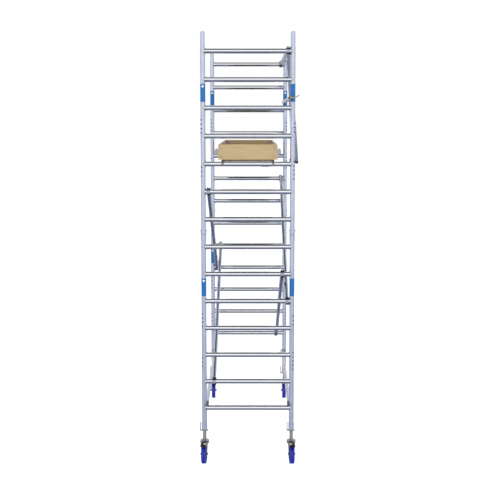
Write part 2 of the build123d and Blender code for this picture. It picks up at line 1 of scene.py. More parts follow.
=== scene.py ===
# %% [markdown]
# # A rolling aluminium scaffold tower
#
# The tower is already modelled as solid parts, each one a node with a name, at its real size in
# metres. X runs across the tower, Y along it with the front at -Y, and Z is up. This lesson gives
# every part its finish and adds the small things that make metalwork look real: ribs, welds,
# threads, rivets, labels and bearings.
#
# We load the parts first.

import bpy
import numpy as np
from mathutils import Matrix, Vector


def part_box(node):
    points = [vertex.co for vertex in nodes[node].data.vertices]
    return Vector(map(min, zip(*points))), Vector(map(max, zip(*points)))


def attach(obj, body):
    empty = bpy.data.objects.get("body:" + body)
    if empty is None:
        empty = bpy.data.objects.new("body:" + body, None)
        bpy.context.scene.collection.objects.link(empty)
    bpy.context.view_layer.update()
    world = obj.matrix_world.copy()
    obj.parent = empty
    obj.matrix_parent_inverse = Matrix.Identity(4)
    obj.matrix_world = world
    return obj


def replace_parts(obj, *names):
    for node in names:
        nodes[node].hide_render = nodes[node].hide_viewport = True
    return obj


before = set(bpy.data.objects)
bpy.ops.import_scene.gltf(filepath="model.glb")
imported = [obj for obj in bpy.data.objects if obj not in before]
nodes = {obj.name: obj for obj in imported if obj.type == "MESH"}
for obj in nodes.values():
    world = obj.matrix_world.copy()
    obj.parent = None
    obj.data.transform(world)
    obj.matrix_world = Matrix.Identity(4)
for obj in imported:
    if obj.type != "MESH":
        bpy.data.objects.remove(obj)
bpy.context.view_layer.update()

# %% [markdown]
# ## Places that the parts give us
#
# The four posts stand at the corners of a rectangle. Their centres come from the boxes of the
# posts, so if the tower is ever made wider, everything below moves with it.

# %% Corners of the tower
ENDS = {"front": -1, "rear": 1}
SIDES = {"left": -1, "right": 1}
CORNERS = [(end, side) for end in ENDS for side in SIDES]
POST_R = 0.0254


POST_AT = {}
for end, side in CORNERS:
    low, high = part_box(f"{end}_lower_posts")
    post_x = SIDES[side] * (high.x - POST_R)
    post_y = (low.y + high.y) / 2
    POST_AT[f"{end}_{side}"] = np.array([post_x, post_y, 0.0])
print({name: [round(float(v), 4) for v in at] for name, at in POST_AT.items()})

# %% [markdown]
# ## Camera
#
# A tower is usually shown from its end with a long lens, from the height of a standing
# person on a ladder. A long lens keeps the rungs nearly level and lets the far frame show just
# inside the near one. The camera looks along +Y and is tipped down a little.

# %% Camera
camera_data = bpy.data.cameras.new("tower_camera")
camera_data.sensor_width = 36.0
camera_data.lens = 73.87
camera_data.clip_end = 300.0
camera = bpy.data.objects.new("tower_camera", camera_data)
camera.location = (0.0478, -11.5853, 3.5326)
camera.rotation_euler = (np.radians(90 - 7.1817), 0.0, np.radians(0.1432))
bpy.context.scene.collection.objects.link(camera)
bpy.context.scene.camera = camera

# %% [markdown]
# ## Surfaces as arrays
#
# Every new piece below is a grid of points: one direction runs along the piece, the other runs
# round its section. Working the whole grid out at once with numpy keeps the formula readable and
# the mesh clean. `skin` joins neighbouring points with four-sided faces and closes the ends.

# %% Skin over a grid of points
def skin(points, ring_closed=False, cap=True):
    """Faces over points[i, j]: j runs round a closed section, i runs along the piece.

    With ring_closed the last section joins the first. Otherwise each end is closed by a fan
    from the mean point of its section.
    """
    rows, columns = points.shape[:2]
    ids = np.arange(rows * columns).reshape(rows, columns)
    beside = np.roll(ids, -1, axis=1)
    if ring_closed:
        ahead, ahead_beside = np.roll(ids, -1, axis=0), np.roll(beside, -1, axis=0)
        here, here_beside = ids, beside
    else:
        here, here_beside, ahead, ahead_beside = ids[:-1], beside[:-1], ids[1:], beside[1:]
    quads = np.stack([here, here_beside, ahead_beside, ahead], axis=-1).reshape(-1, 4)
    flat = points.reshape(-1, 3)
    triangles = np.zeros((0, 3), int)
    if cap and not ring_closed:
        first, last = rows * columns, rows * columns + 1
        flat = np.vstack([flat, points[0].mean(0), points[-1].mean(0)])
        fan_a = np.stack([beside[0], ids[0], np.full(columns, first)], axis=-1)
        fan_b = np.stack([ids[-1], beside[-1], np.full(columns, last)], axis=-1)
        triangles = np.vstack([fan_a, fan_b])
    return flat, quads, triangles


def volume(shape):
    """Signed volume inside a closed skin: positive when its faces point outwards."""
    flat, quads, triangles = shape
    corners = [quads[:, [0, 1, 2]], quads[:, [0, 2, 3]], triangles]
    a, b, c = np.moveaxis(flat[np.vstack(corners)], 1, 0)
    return float(np.einsum("ij,ij->i", a, np.cross(b, c)).sum() / 6)


def outward(shape):
    """The same skin with its faces turned outwards."""
    flat, quads, triangles = shape
    if volume(shape) < 0:
        return flat, quads[:, ::-1], triangles[:, ::-1]
    return shape


def piece(name, shapes, material, body, smooth_angle=35.0):
    """One mesh object from closed skins, with its finish, riding on a body of the tower."""
    flats, faces, start = [], [], 0
    for flat, quads, triangles in map(outward, shapes):
        flats.append(flat)
        faces += (quads + start).tolist() + (triangles + start).tolist()
        start += len(flat)
    mesh = bpy.data.meshes.new(name)
    mesh.from_pydata(np.vstack(flats), [], faces)
    mesh.polygons.foreach_set("use_smooth", np.ones(len(faces), bool))
    mesh.set_sharp_from_angle(angle=np.radians(smooth_angle))
    mesh.materials.append(material)
    mesh.validate()
    made = bpy.data.objects.new(name, mesh)
    bpy.context.scene.collection.objects.link(made)
    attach(made, body)
    print(f"{name}: {len(shapes)} shapes, {len(faces)} faces")
    return made


# %% [markdown]
# Most pieces are one of two kinds: a profile turned about an axis, or a section carried along a
# line. Both need a frame of three directions at right angles, which `axes_about` gives.

# %% Turned and drawn shapes
def axes_about(direction):
    """Unit vectors u, v, w with w along the direction and u as level as it can be."""
    w = np.asarray(direction, float)
    w = w / np.linalg.norm(w)
    guide = np.array([0.0, 0.0, 1.0]) if abs(w[2]) < 0.9 else np.array([1.0, 0.0, 0.0])
    u = np.cross(guide, w)
    u /= np.linalg.norm(u)
    return u, np.cross(w, u), w


def turned(profile, at, direction, steps=48, closed=True):
    """Profile of (radius, height) pairs turned about an axis through a point.

    Point (i, j) = at + r_j (cos a_i u + sin a_i v) + h_j w, with a_i going once round.
    A closed profile gives a ring; an open one starts and ends on the axis.
    """
    u, v, w = axes_about(direction)
    angle = np.linspace(0, 2 * np.pi, steps, endpoint=False)
    spoke = np.cos(angle)[:, None] * u + np.sin(angle)[:, None] * v
    radius, height = np.array(profile, float).T
    grid = np.asarray(at, float) + radius[None, :, None] * spoke[:, None, :]
    grid = grid + height[None, :, None] * w
    if closed:
        return skin(grid, ring_closed=True)
    return skin(np.swapaxes(grid, 0, 1))


def drawn(section, start, end, up=None):
    """A flat section of (across, up) pairs drawn in a straight line from start to end."""
    start, end = np.asarray(start, float), np.asarray(end, float)
    u, v, w = axes_about(end - start)
    across, rise = np.array(section, float).T
    ring = across[:, None] * u + rise[:, None] * v
    return skin(np.stack([start + ring, end + ring]))


def ribbed_section(radius, ribs, depth, points_per_rib=6):
    """Circle whose radius dips by depth between ribs: r = R - depth (1 - cos(n a)) / 2."""
    angle = np.linspace(0, 2 * np.pi, ribs * points_per_rib, endpoint=False)
    r = radius - depth * (1 - np.cos(ribs * angle)) / 2
    return np.stack([r * np.cos(angle), r * np.sin(angle)], axis=-1)

# %% [markdown]
# ## Finishes
#
# A finish here is a small network of nodes. Noise stretched along one direction looks like the
# lines that a die leaves on an extruded tube; round noise looks like handling and dust. The same
# pattern drives the colour a little, the roughness more, and a very fine bump, because on real
# metal those three change together. All patterns read the object's own coordinates, in metres, so
# they stay on the part when it moves.

# %% Node helpers
def srgb(red, green, blue):
    """A screen colour from 0 to 255 as the linear numbers that a shader works in."""
    c = np.array([red, green, blue]) / 255
    linear = np.where(c <= 0.04045, c / 12.92, ((c + 0.055) / 1.055) ** 2.4)
    return (*linear.tolist(), 1.0)


def blank(name):
    """An empty material with a Principled shader: returns the material, its tree and the shader."""
    material = bpy.data.materials.new(name)
    material.use_nodes = True
    tree = material.node_tree
    return material, tree, tree.nodes["Principled BSDF"]


def plug(tree, source, target):
    """Joins an output to an input, or sets the input when the source is a plain value."""
    if isinstance(source, bpy.types.NodeSocket):
        tree.links.new(source, target)
    else:
        target.default_value = source


def place(tree, stretch=(1, 1, 1), turn=(0, 0, 0), shift=(0, 0, 0)):
    """Object coordinates, shifted, turned and stretched."""
    coords = tree.nodes.new("ShaderNodeTexCoord")
    mapping = tree.nodes.new("ShaderNodeMapping")
    mapping.inputs["Location"].default_value = shift
    mapping.inputs["Rotation"].default_value = turn
    mapping.inputs["Scale"].default_value = stretch
    tree.links.new(coords.outputs["Object"], mapping.inputs["Vector"])
    return mapping.outputs["Vector"]


def noise(tree, vector, scale, detail=4.0, rough=0.55, warp=0.0):
    """Soft cloud pattern from 0 to 1."""
    node = tree.nodes.new("ShaderNodeTexNoise")
    node.inputs["Scale"].default_value = scale
    node.inputs["Detail"].default_value = detail
    node.inputs["Roughness"].default_value = rough
    node.inputs["Distortion"].default_value = warp
    tree.links.new(vector, node.inputs["Vector"])
    return node.outputs["Fac"]


def cells(tree, vector, scale, feature="F1", spread=1.0):
    """Cell pattern: distance to the nearest cell centre, or to the cell's edge."""
    node = tree.nodes.new("ShaderNodeTexVoronoi")
    node.feature = feature
    node.inputs["Scale"].default_value = scale
    node.inputs["Randomness"].default_value = spread
    tree.links.new(vector, node.inputs["Vector"])
    return node.outputs["Distance"]


def band(tree, value, low, high, to_low=0.0, to_high=1.0):
    """Value stretched from the span low..high to the span to_low..to_high, and held inside it."""
    node = tree.nodes.new("ShaderNodeMapRange")
    plug(tree, value, node.inputs["Value"])
    for name, number in zip(("From Min", "From Max", "To Min", "To Max"), (low, high, to_low, to_high)):
        node.inputs[name].default_value = number
    return node.outputs["Result"]


def sums(tree, operation, a, b=0.5):
    """One step of arithmetic on two values."""
    node = tree.nodes.new("ShaderNodeMath")
    node.operation = operation
    plug(tree, a, node.inputs[0])
    plug(tree, b, node.inputs[1])
    return node.outputs["Value"]


def blend_colours(tree, share, a, b, how="MIX"):
    """Colour a where share is 0, colour b where it is 1."""
    node = tree.nodes.new("ShaderNodeMix")
    node.data_type = "RGBA"
    node.blend_type = how
    plug(tree, share, node.inputs["Factor"])
    plug(tree, a, node.inputs["A"])
    plug(tree, b, node.inputs["B"])
    return node.outputs["Result"]


def relief(tree, shader, height, depth, strength=1.0):
    """Bump of that depth in metres on the shader's normal."""
    node = tree.nodes.new("ShaderNodeBump")
    node.inputs["Strength"].default_value = strength
    node.inputs["Distance"].default_value = depth
    plug(tree, height, node.inputs["Height"])
    tree.links.new(node.outputs["Normal"], shader.inputs["Normal"])


# %% [markdown]
# ### Drawn aluminium
#
# Tower tube is extruded and left bare. Along its length it has faint die lines; across it, cloudy
# marks from storage and rain, and a few short scratches from other frames. The grain direction is
# a parameter, because posts run up, rungs run across and braces lean.

# %% Drawn aluminium finish
def drawn_aluminium(name, light, dark, along, turn=(0, 0, 0), rough=(0.24, 0.42), lines=420.0, bump=0.00002):
    """Bare extrusion with die lines along one axis. along is that axis: 0, 1 or 2."""
    material, tree, shader = blank(name)
    stretch = [1.0, 1.0, 1.0]
    stretch[along] = 0.006
    grain = noise(tree, place(tree, stretch, turn), lines, detail=3.0, rough=0.6)
    cloud = noise(tree, place(tree), 9.0, detail=5.0, rough=0.6, warp=0.4)
    smudge = noise(tree, place(tree, shift=(3.1, 1.7, 0.4)), 34.0, detail=4.0)
    scratch_stretch = [1.0, 1.0, 1.0]
    scratch_stretch[along] = 0.12
    scratch = noise(tree, place(tree, scratch_stretch, turn, (0.2, 0.9, 0.5)), 260.0, detail=2.0)
    scratch = band(tree, scratch, 0.68, 0.74)
    shade = sums(tree, "ADD", sums(tree, "MULTIPLY", grain, 0.45), sums(tree, "MULTIPLY", cloud, 0.55))
    colour = blend_colours(tree, band(tree, shade, 0.36, 0.64), dark, light)
    colour = blend_colours(tree, sums(tree, "MULTIPLY", scratch, 0.2), colour, srgb(236, 238, 242))
    plug(tree, colour, shader.inputs["Base Color"])
    gloss = sums(tree, "ADD", sums(tree, "MULTIPLY", grain, 0.4), sums(tree, "MULTIPLY", smudge, 0.6))
    plug(tree, band(tree, gloss, 0.35, 0.66, *rough), shader.inputs["Roughness"])
    shader.inputs["Metallic"].default_value = 1.0
    relief(tree, shader, sums(tree, "SUBTRACT", grain, scratch), bump, 0.35)
    return material


POST_LIGHT, POST_DARK = srgb(224, 230, 245), srgb(208, 215, 234)
# Braces, rails and the deck frame take a darker copy of the post aluminium: painted shade, for tubes that
# look duller because they reflect less of the bright horizon.
TUBE_LIGHT_PAINTED_SHADE, TUBE_DARK_PAINTED_SHADE = srgb(186, 192, 208), srgb(156, 163, 182)
RUNG_LIGHT, RUNG_DARK = srgb(250, 251, 253), srgb(240, 242, 246)
post_metal = drawn_aluminium("drawn_aluminium_post", POST_LIGHT, POST_DARK, along=2)
rung_metal = drawn_aluminium(
    "drawn_aluminium_rung", RUNG_LIGHT, RUNG_DARK, along=0, rough=(0.09, 0.17), bump=0.000006
)
rail_metal_painted_shade = drawn_aluminium(
    "drawn_aluminium_rail_painted_shade", TUBE_LIGHT_PAINTED_SHADE, TUBE_DARK_PAINTED_SHADE, along=1, rough=(0.14, 0.26), bump=0.00001
)
# The guard rails take a darker copy again: painted shade, for rails that look darker end on.
GUARD_LIGHT_PAINTED_SHADE, GUARD_DARK_PAINTED_SHADE = srgb(160, 165, 180), srgb(124, 130, 146)
guard_metal_painted_shade = drawn_aluminium(
    "drawn_aluminium_guard_painted_shade", GUARD_LIGHT_PAINTED_SHADE, GUARD_DARK_PAINTED_SHADE, along=1, rough=(0.2, 0.34), bump=0.00002
)
frame_metal_painted_shade = drawn_aluminium("drawn_aluminium_deck_frame_painted_shade", TUBE_LIGHT_PAINTED_SHADE, TUBE_DARK_PAINTED_SHADE, along=1)
strut_metal = drawn_aluminium("drawn_aluminium_strut", POST_LIGHT, POST_DARK, along=1, rough=(0.5, 0.66))

# %% [markdown]
# ### Cast aluminium, zinc and weld metal
#
# Claws and clamps are castings: a fine sandy skin, rubbed smoother and lighter where they slide.
# Steel parts of the casters are zinc plated, with faint crystals that only show as patches of
# different gloss. A weld bead is duller than the tube and slightly yellowed by heat.

# %% Rough metal finishes
def cast_metal(name, light, dark, grain=900.0, rough=(0.38, 0.6), depth=0.00012):
    """Casting: a sandy bump, with smoother and lighter rubbed patches."""
    material, tree, shader = blank(name)
    sand = noise(tree, place(tree), grain, detail=3.0, rough=0.7)
    rub = band(tree, noise(tree, place(tree), 30.0, detail=5.0, warp=0.6), 0.42, 0.62)
    colour = blend_colours(tree, rub, dark, light)
    colour = blend_colours(tree, band(tree, sand, 0.3, 0.5, 0.25, 0.0), colour, srgb(92, 92, 94))
    plug(tree, colour, shader.inputs["Base Color"])
    plug(tree, band(tree, rub, 0, 1, rough[1], rough[0]), shader.inputs["Roughness"])
    shader.inputs["Metallic"].default_value = 0.9
    relief(tree, shader, sand, depth, 0.7)
    return material


def zinc(name, light, dark, crystal=170.0):
    """Zinc plate: crystals that differ in gloss, with a little white bloom."""
    material, tree, shader = blank(name)
    crystals = cells(tree, place(tree), crystal)
    bloom = band(tree, noise(tree, place(tree), 26.0, detail=6.0, rough=0.65), 0.5, 0.72)
    colour = blend_colours(tree, band(tree, crystals, 0.1, 0.8), light, dark)
    colour = blend_colours(tree, sums(tree, "MULTIPLY", bloom, 0.45), colour, srgb(196, 194, 186))
    plug(tree, colour, shader.inputs["Base Color"])
    dullness = band(tree, sums(tree, "ADD", crystals, bloom), 0.1, 1.4, 0.26, 0.55)
    plug(tree, dullness, shader.inputs["Roughness"])
    shader.inputs["Metallic"].default_value = 0.95
    relief(tree, shader, noise(tree, place(tree), 420.0, detail=2.0), 0.00004, 0.5)
    return material


claw_metal = cast_metal("cast_aluminium_claw", srgb(168, 168, 172), srgb(124, 124, 130))
clamp_metal = cast_metal("cast_aluminium_clamp", srgb(156, 148, 139), srgb(114, 107, 100))
weld_metal = cast_metal("weld_bead", srgb(204, 204, 206), srgb(150, 148, 146), 420.0, (0.3, 0.5), 0.0002)
caster_zinc = zinc("zinc_plate_caster", srgb(196, 193, 186), srgb(158, 155, 150))
wire_zinc = zinc("zinc_plate_wire", srgb(186, 187, 190), srgb(140, 141, 145), 400.0)
fitting_zinc = zinc("zinc_plate_fitting", srgb(206, 206, 216), srgb(170, 170, 182), 300.0)

# %% [markdown]
# ### Plastics
#
# The wheels are solid blue plastic with a satin skin that dust dulls at the tread. Triggers and
# pedals are black. Labels are printed film: flat colour, slightly worn through at random places.

# %% Plastic finishes
def plastic(name, colour, worn, rough=(0.28, 0.5), fine=700.0, depth=0.00005, wear=0.35):
    """Moulded plastic: fine skin, dusty or scuffed patches in the worn colour."""
    material, tree, shader = blank(name)
    skin_grain = noise(tree, place(tree), fine, detail=2.0)
    scuff = band(tree, noise(tree, place(tree), 48.0, detail=7.0, rough=0.7, warp=0.5), 0.54, 0.74)
    tint = noise(tree, place(tree, shift=(0.7, 0.3, 0.9)), 12.0, detail=3.0)
    deeper = (*(0.6 * level for level in colour[:3]), 1.0)
    base = blend_colours(tree, band(tree, tint, 0.35, 0.65, 0.0, 0.25), colour, deeper)
    base = blend_colours(tree, sums(tree, "MULTIPLY", scuff, wear), base, worn)
    plug(tree, base, shader.inputs["Base Color"])
    plug(tree, band(tree, scuff, 0, 1, *rough), shader.inputs["Roughness"])
    relief(tree, shader, skin_grain, depth, 0.5)
    return material


wheel_blue = plastic("moulded_blue_wheel", srgb(20, 36, 156), srgb(70, 84, 158), (0.3, 0.5))
cover_blue = plastic("moulded_blue_cover", srgb(34, 50, 158), srgb(70, 84, 160), (0.35, 0.5))
black_plastic = plastic("moulded_black", srgb(14, 14, 16), srgb(52, 52, 54), (0.4, 0.62), wear=0.25)
label_blue = plastic("printed_blue_label", srgb(12, 100, 170), srgb(96, 146, 192), (0.3, 0.45), wear=0.2)
label_white = plastic("printed_white_dot", srgb(236, 238, 240), srgb(190, 194, 198), (0.35, 0.5), wear=0.3)
mark_blue = plastic("printed_blue_mark", srgb(22, 50, 92), srgb(70, 92, 130), (0.35, 0.5), wear=0.3)
pedal_cream = plastic("printed_cream_mark", srgb(226, 220, 190), srgb(176, 168, 140), (0.4, 0.6), wear=0.4)

# %% [markdown]
# ### Plywood
#
# Toe boards are lacquered birch plywood: long pale grain on the faces, stripes of the plies on the
# edges. The shader tells a face from an edge by the surface's own normal. The deck is plywood with
# a brown resin film, pressed with a wire mesh pattern so that boots grip, and rubbed paler by them.

# %% Wood finishes
def facing(tree, axis):
    """1 where the surface looks along that axis, 0 where it looks across it."""
    coords = tree.nodes.new("ShaderNodeTexCoord")
    split = tree.nodes.new("ShaderNodeSeparateXYZ")
    tree.links.new(coords.outputs["Normal"], split.inputs["Vector"])
    return band(tree, sums(tree, "ABSOLUTE", split.outputs[axis]), 0.6, 0.8)


def plies(tree, axis, thickness):
    """Stripes across the sheet, one for each ply."""
    coords = tree.nodes.new("ShaderNodeTexCoord")
    split = tree.nodes.new("ShaderNodeSeparateXYZ")
    tree.links.new(coords.outputs["Object"], split.inputs["Vector"])
    wave = sums(tree, "SINE", sums(tree, "MULTIPLY", split.outputs[axis], 2 * np.pi / thickness))
    return band(tree, wave, -0.4, 0.4)


def plywood(name, pale, deep):
    """Lacquered plywood boards that stand on edge: grain along their length, plies on top."""
    material, tree, shader = blank(name)
    long_grain = noise(tree, place(tree, (0.06, 0.06, 1.0)), 95.0, detail=6.0, rough=0.62, warp=0.8)
    flame = noise(tree, place(tree, (0.35, 0.35, 3.0)), 6.0, detail=3.0, warp=1.6)
    pores = band(tree, noise(tree, place(tree, (0.04, 0.04, 1.0)), 900.0, detail=2.0), 0.58, 0.7)
    figure = sums(tree, "ADD", sums(tree, "MULTIPLY", long_grain, 0.6), sums(tree, "MULTIPLY", flame, 0.4))
    face = blend_colours(tree, band(tree, figure, 0.36, 0.64), deep, pale)
    face = blend_colours(tree, sums(tree, "MULTIPLY", pores, 0.3), face, srgb(120, 94, 60))
    layers = sums(tree, "MULTIPLY", plies(tree, "Y", 0.0036), 1.0)
    layers_x = plies(tree, "X", 0.0036)
    edge_stripe = sums(tree, "MULTIPLY", sums(tree, "ADD", layers, layers_x), 0.5)
    edge = blend_colours(tree, edge_stripe, srgb(138, 108, 70), srgb(196, 172, 132))
    colour = blend_colours(tree, facing(tree, "Z"), face, edge)
    plug(tree, colour, shader.inputs["Base Color"])
    plug(tree, band(tree, figure, 0.3, 0.7, 0.5, 0.36), shader.inputs["Roughness"])
    relief(tree, shader, sums(tree, "SUBTRACT", long_grain, pores), 0.00012, 0.5)
    shader.inputs["Coat Weight"].default_value = 0.15
    return material


def filmed_deck(name):
    """Resin film over plywood, with a pressed mesh on the faces and plies on the cut edges."""
    material, tree, shader = blank(name)
    mesh_cells = cells(tree, place(tree, (1.0, 1.0, 0.02)), 210.0, "DISTANCE_TO_EDGE", 0.0)
    wire = band(tree, mesh_cells, 0.04, 0.16, 1.0, 0.0)
    boots = band(tree, noise(tree, place(tree), 7.0, detail=7.0, rough=0.62, warp=0.7), 0.46, 0.7)
    film = blend_colours(tree, boots, srgb(58, 46, 40), srgb(96, 82, 72))
    film = blend_colours(tree, sums(tree, "MULTIPLY", wire, 0.4), film, srgb(52, 36, 26))
    edge = blend_colours(tree, plies(tree, "Z", 0.0024), srgb(112, 78, 48), srgb(166, 132, 92))
    colour = blend_colours(tree, facing(tree, "Z"), edge, film)
    plug(tree, colour, shader.inputs["Base Color"])
    plug(tree, band(tree, boots, 0, 1, 0.38, 0.62), shader.inputs["Roughness"])
    relief(tree, shader, wire, 0.0005, 0.8)
    return material


toe_wood = plywood("lacquered_plywood", srgb(186, 163, 124), srgb(168, 144, 104))
deck_wood = filmed_deck("film_faced_plywood")
print("finishes:", len(bpy.data.materials))

# %% [markdown]
# ## Dressing the solid parts
#
# Parts whose solid shape is already right keep it and only take a finish. Castings and boards also
# get a small bevel, because no real edge is perfectly sharp and it is the rounded edge that
# catches the light. The solid parts arrive as loose triangles, so a Weld modifier joins them first.

# %% Finishes of the solid parts
FINISH_OF = {
    "posts": post_metal, "spigots": post_metal, "collars": post_metal, "strut": strut_metal,
    "rungs": rung_metal, "brace": rail_metal_painted_shade, "rail": rail_metal_painted_shade, "claws": claw_metal,
    "clamps": clamp_metal, "hooks": claw_metal, "platform_frame": frame_metal_painted_shade,
    "triggers": black_plastic, "pedal": black_plastic, "wheel": wheel_blue, "lever": wire_zinc,
    "lock_clip": wire_zinc, "leg": caster_zinc, "nut": caster_zinc, "fork": caster_zinc,
    "hinges": fitting_zinc, "latch": fitting_zinc, "wind_lock": fitting_zinc,
    "fittings": fitting_zinc, "toe_boards": toe_wood, "deck": deck_wood, "hatch": deck_wood,
}
WORDS = sorted(FINISH_OF, key=len, reverse=True)


def dress(node, material):
    """The finish in the part's only material slot."""
    mesh = nodes[node].data
    mesh.materials.clear()
    mesh.materials.append(material)


for node in nodes:
    if node.startswith("hatch_"):
        dress(node, fitting_zinc)
    else:
        dress(node, FINISH_OF[next(word for word in WORDS if word in node)])


def ease_edges(node, width):
    """Joins the loose triangles and rounds the sharp edges to that width."""
    weld = nodes[node].modifiers.new("weld", "WELD")
    weld.merge_threshold = 0.00002
    bevel = nodes[node].modifiers.new("ease", "BEVEL")
    bevel.width = width
    bevel.segments = 2
    bevel.limit_method = "ANGLE"
    bevel.angle_limit = np.radians(50)
    bevel.harden_normals = True


EASED = [("toe_boards", 0.003), ("platform_frame", 0.001), ("platform_hooks", 0.001), ("brace_claws", 0.0012)]
SMALL_PARTS = ("caster_fork", "brake_pedal", "guard_clamps", "clamp_lever", "wind_lock", "claw_triggers")
EASED += [(name, 0.0008) for name in nodes if name.startswith(SMALL_PARTS)]
for node, width in EASED:
    ease_edges(node, width)

# %% [markdown]
# ## Rungs
#
# A rung is an extruded tube with fine ribs along it, so that a wet boot doesn't slide. Its ends are
# sawn to a saddle that fits the round post. The section is a circle with a small wave in its
# radius; the saddle comes from the post's own circle, worked out for every point of the section.

# %% Ribbed rungs
RUNG_R, RUNG_PITCH, RUNG_RIBS, RIB_DEPTH = 0.025, 0.28, 36, 0.00006
post_x, post_y = POST_AT["front_right"][0], abs(POST_AT["front_right"][1])


def saddle_x(across):
    """Distance from the middle at which a rung meets the post: X - sqrt(r^2 - across^2)."""
    return post_x - np.sqrt(np.maximum(POST_R**2 - across**2, 0.0))


def ribbed_rung(y, z):
    """Rung from saddle to saddle: point = (s x(y_j), y + y_j, z + z_j), s from -1 to 1."""
    section = ribbed_section(RUNG_R, RUNG_RIBS, RIB_DEPTH, 8)
    reach = saddle_x(section[:, 0]) + 0.0006
    along = np.array([-1.0, -0.98, 0.98, 1.0])
    grid = np.zeros((len(along), len(section), 3))
    grid[:, :, 0] = along[:, None] * reach[None, :]
    grid[:, :, 1] = y + section[:, 0]
    grid[:, :, 2] = z + section[:, 1]
    return skin(grid)


def rung_heights(node):
    """Centres of the rungs of one frame, from the height of its box."""
    low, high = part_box(node)
    count = round((high.z - low.z - 2 * RUNG_R) / RUNG_PITCH) + 1
    return low.z + RUNG_R + RUNG_PITCH * np.arange(count)


FRAMES = [(end, level) for end in ENDS for level in ("lower", "upper")]
for end, level in FRAMES:
    node = f"{end}_{level}_rungs"
    shapes = [ribbed_rung(ENDS[end] * post_y, z) for z in rung_heights(node)]
    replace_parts(piece(f"{end}_{level}_ribbed_rungs", shapes, rung_metal, "tower", 30), node)

# %% [markdown]
# ## Weld beads
#
# Each rung is welded to the post all the way round. The bead follows the saddle curve and shows
# the ripples of the welder's hand. Its path is the saddle; its section is a circle whose radius
# rises and falls along the path.

# %% Weld beads
def bead(y, z, side, radius=0.0026, ripples=44, steps=176, section_steps=8):
    """Ring of ripples round a rung's end: path p(a), section radius r (1 + 0.18 cos(n a)).

    p(a) = (s x(R cos a), y + R cos a, z + R sin a). The section lies across the path, between
    the direction out from the rung's axis and the direction along it.
    """
    a = np.linspace(0, 2 * np.pi, steps, endpoint=False)
    out_y, out_z = np.cos(a), np.sin(a)
    reach = saddle_x(RUNG_R * out_y) - 0.0012
    path = np.stack([side * reach, y + RUNG_R * out_y, z + RUNG_R * out_z], axis=-1)
    out = np.stack([np.zeros(steps), out_y, out_z], axis=-1)
    tangent = np.roll(path, -1, axis=0) - np.roll(path, 1, axis=0)
    tangent /= np.linalg.norm(tangent, axis=1)[:, None]
    aside = np.cross(tangent, out)
    turn = np.linspace(0, 2 * np.pi, section_steps, endpoint=False)
    size = radius * (1 + 0.18 * np.cos(ripples * a))
    ring = np.cos(turn)[None, :, None] * out[:, None, :] + np.sin(turn)[None, :, None] * aside[:, None, :]
    return skin(path[:, None, :] + size[:, None, None] * ring, ring_closed=True)


for end, level in FRAMES:
    heights = rung_heights(f"{end}_{level}_rungs")
    shapes = [bead(ENDS[end] * post_y, z, side) for z in heights for side in (-1, 1)]
    piece(f"{end}_{level}_welds", shapes, weld_metal, "tower", 60)

# %% [markdown]
# ## Braces and rails
#
# The braces are ribbed tubes too, riveted to their claws. The line of each tube is the longest
# direction through the part's own points, which the singular value decomposition gives.

# %% Ribbed braces with rivets
def points_of(node):
    """All corners of a part's mesh as an array."""
    mesh = nodes[node].data
    flat = np.empty(3 * len(mesh.vertices))
    mesh.vertices.foreach_get("co", flat)
    return flat.reshape(-1, 3)


def line_of(node):
    """Start and end of a long part's axis."""
    points = points_of(node)
    low, high = points.min(0), points.max(0)
    centre = (low + high) / 2
    along = np.linalg.svd(points - points.mean(0), full_matrices=False)[2][0]
    along *= np.sign(along[1])
    half = ((points - centre) @ along).max()
    return centre - half * along, centre + half * along


def dome(at, direction, radius=0.0062, rise=0.0026):
    """Head of a rivet: a shallow dome on a short cylinder that sinks into the part."""
    a = np.linspace(0, np.pi / 2, 7)
    profile = [(radius * np.sin(t), rise * np.cos(t)) for t in a]
    return turned(profile + [(radius, -0.0015), (0.0, -0.0015)], at, direction, 20, closed=False)


BRACE_R = 0.020
BRACES = [name for name in nodes if "_brace_" in name or name in ("guard_top_rail", "guard_knee_rail")]
for name in BRACES:
    start, end = line_of(name)
    along = (end - start) / np.linalg.norm(end - start)
    tube = drawn(ribbed_section(BRACE_R, 28, 0.00014, 8), start, end)
    metal = guard_metal_painted_shade if name.startswith("guard") else rail_metal_painted_shade
    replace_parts(piece(f"{name}_ribbed", [tube], metal, "tower", 30), name)
    heads = []
    for root, inward in ((start, along), (end, -along)):
        for distance, side in ((0.012, -1), (0.012, 1), (0.028, -1), (0.028, 1)):
            spot = root + distance * inward + np.array([side * (BRACE_R - 0.0004), 0, 0])
            heads.append(dome(spot, (side, 0, 0)))
    piece(f"{name}_rivets", heads, wire_zinc, "tower", 50)

# %% [markdown]
# ## Labels and marks on the posts
#
# Every post carries two blue sleeves and rows of short marks that show where a clamp may sit. All
# are plain colour. Sleeves are thin rings; marks are patches bent round the post: a small flat
# section carried along an arc, with the height of a round dot following its circle.

# %% Sleeves, dots and marks
def sleeve(at, low, high, inner, outer):
    """Thin ring round a post between two heights, with its edges eased."""
    ease = 0.0002
    foot = [(inner, low), (outer - ease, low), (outer, low + ease)]
    profile = foot + [(outer, high - ease), (outer - ease, high), (inner, high)]
    return turned(profile, at, (0, 0, 1), 64)


